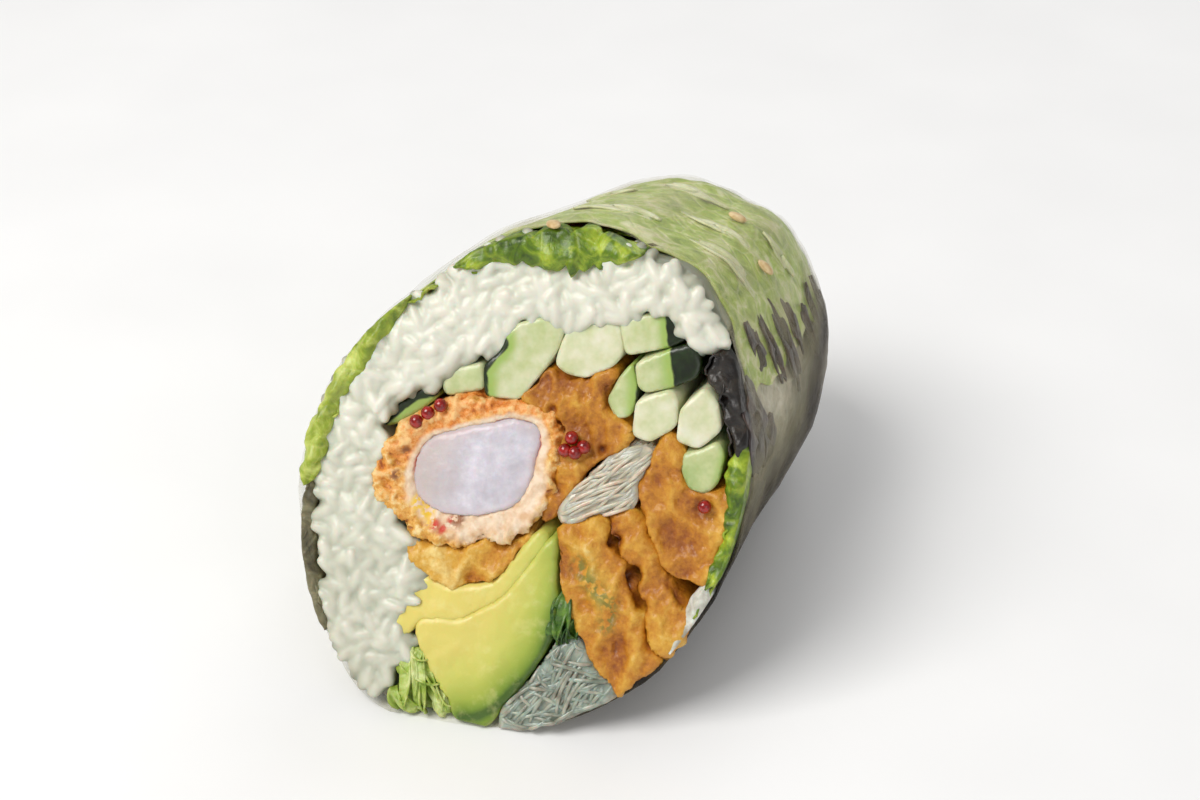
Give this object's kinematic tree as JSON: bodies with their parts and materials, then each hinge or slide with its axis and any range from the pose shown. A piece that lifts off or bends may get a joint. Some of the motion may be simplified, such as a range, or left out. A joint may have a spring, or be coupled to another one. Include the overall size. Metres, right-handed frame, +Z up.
{
  "type": "shrimp tempura roll",
  "caption": "Cut half of a large rice paper roll lying on its side, its slanted face showing tempura shrimp, rice, cucumber, avocado, fried tofu, noodles and leaves.",
  "frame": {"origin": "middle of the footprint, on the surface that the roll lies on", "axes": "+Z up, +Y along the roll from its slanted cut face to its closed end, +X to the right seen from the cut face"},
  "size_m": [0.0624, 0.099, 0.0626],
  "materials": {
    "film": "wet translucent rice paper, softly shiny",
    "lettuce": "fresh moist leaf with paler veins",
    "purple_leaf": "dark purple moist leaf",
    "rice": "moist boiled rice, soft sheen",
    "cucumber": "wet pale green flesh with dark green skin",
    "shrimp": "moist boiled shrimp meat",
    "batter": "fried batter, golden crust with pale inside and dark red roe",
    "tofu": "oily golden fried crumb with a few dark red roe beads",
    "avocado": "soft buttery flesh, yellow to dark green at the rim",
    "noodles": "wet translucent glass noodles",
    "herb": "moist green herb shreds"
  },
  "bodies": {
    "root": {"rice_paper": "film", "lettuce_top": "lettuce", "lettuce_left": "lettuce", "lettuce_right": "lettuce", "purple_leaf_left": "purple_leaf", "purple_leaf_right": "purple_leaf", "rice": "rice", "shrimp": "shrimp", "tempura_batter": "batter", "fried_tofu_top": "tofu", "fried_tofu_under": "tofu", "fried_tofu_right": "tofu", "fried_tofu_low": "tofu", "fried_tofu_low_right": "tofu", "noodles_middle": "noodles", "noodles_bottom": "noodles", "avocado_front": "avocado", "avocado_back": "avocado", "cucumber_01": "cucumber", "cucumber_02": "cucumber", "cucumber_03": "cucumber", "cucumber_04": "cucumber", "cucumber_05": "cucumber", "cucumber_06": "cucumber", "cucumber_07": "cucumber", "cucumber_08": "cucumber", "cucumber_09": "cucumber", "cucumber_10": "cucumber", "herb": "herb", "spring_onion": "herb"}
  },
  "joints": []
}
